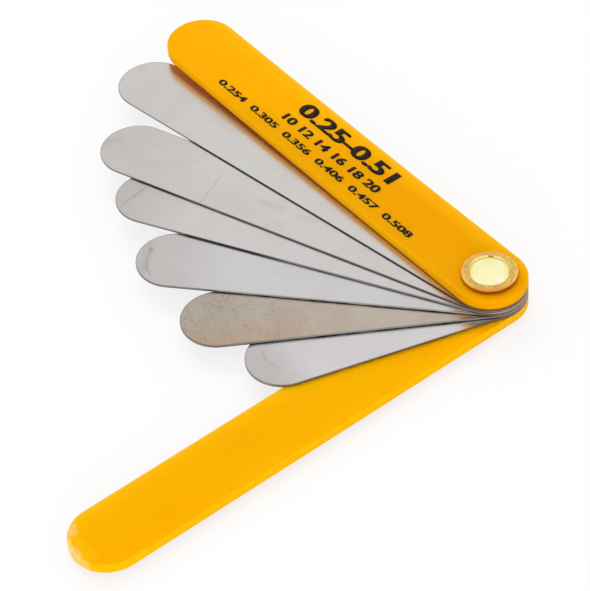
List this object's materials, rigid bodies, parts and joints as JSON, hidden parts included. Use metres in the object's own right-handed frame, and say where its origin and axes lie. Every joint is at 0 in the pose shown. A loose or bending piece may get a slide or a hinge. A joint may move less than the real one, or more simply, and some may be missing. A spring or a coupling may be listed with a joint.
{
  "type": "nut height gauge",
  "caption": "Fan of round-ended steel thickness leaves, graded in length and thickness, between two orange plastic cover strips that all turn on one hollow brass rivet.",
  "frame": {"origin": "on the axis of the hollow rivet, halfway up the rivet", "axes": "+Z along the rivet's axis, up out of the top cover; +X along the bottom cover, from the rivet to its free tip; the leaves and the top cover are fanned out towards -Y"},
  "size_m": [0.0926, 0.091, 0.0083],
  "materials": {
    "cover_plastic": "satin moulded yellow-orange plastic",
    "leaf_steel": "rolled spring steel, lightly scratched",
    "rivet_brass": "bright brass, polished in the bore"
  },
  "bodies": {
    "base": {"bottom_cover": "cover_plastic", "hollow_rivet": "rivet_brass"},
    "top_cover": {"top_cover": "cover_plastic"},
    "gauge_leaf_1": {"gauge_leaf_1": "leaf_steel"},
    "gauge_leaf_2": {"gauge_leaf_2": "leaf_steel"},
    "gauge_leaf_3": {"gauge_leaf_3": "leaf_steel"},
    "gauge_leaf_4": {"gauge_leaf_4": "leaf_steel"},
    "gauge_leaf_5": {"gauge_leaf_5": "leaf_steel"},
    "gauge_leaf_6": {"gauge_leaf_6": "leaf_steel"}
  },
  "joints": [
    {"name": "top_cover_turn", "type": "hinge", "parent": "base", "child": "top_cover", "pos_m": [0, 0, 0], "axis": [0, 0, 1], "continuous": true},
    {"name": "gauge_leaf_1_turn", "type": "hinge", "parent": "base", "child": "gauge_leaf_1", "pos_m": [0, 0, 0], "axis": [0, 0, 1], "continuous": true},
    {"name": "gauge_leaf_2_turn", "type": "hinge", "parent": "base", "child": "gauge_leaf_2", "pos_m": [0, 0, 0], "axis": [0, 0, 1], "continuous": true},
    {"name": "gauge_leaf_3_turn", "type": "hinge", "parent": "base", "child": "gauge_leaf_3", "pos_m": [0, 0, 0], "axis": [0, 0, 1], "continuous": true},
    {"name": "gauge_leaf_4_turn", "type": "hinge", "parent": "base", "child": "gauge_leaf_4", "pos_m": [0, 0, 0], "axis": [0, 0, 1], "continuous": true},
    {"name": "gauge_leaf_5_turn", "type": "hinge", "parent": "base", "child": "gauge_leaf_5", "pos_m": [0, 0, 0], "axis": [0, 0, 1], "continuous": true},
    {"name": "gauge_leaf_6_turn", "type": "hinge", "parent": "base", "child": "gauge_leaf_6", "pos_m": [0, 0, 0], "axis": [0, 0, 1], "continuous": true}
  ]
}
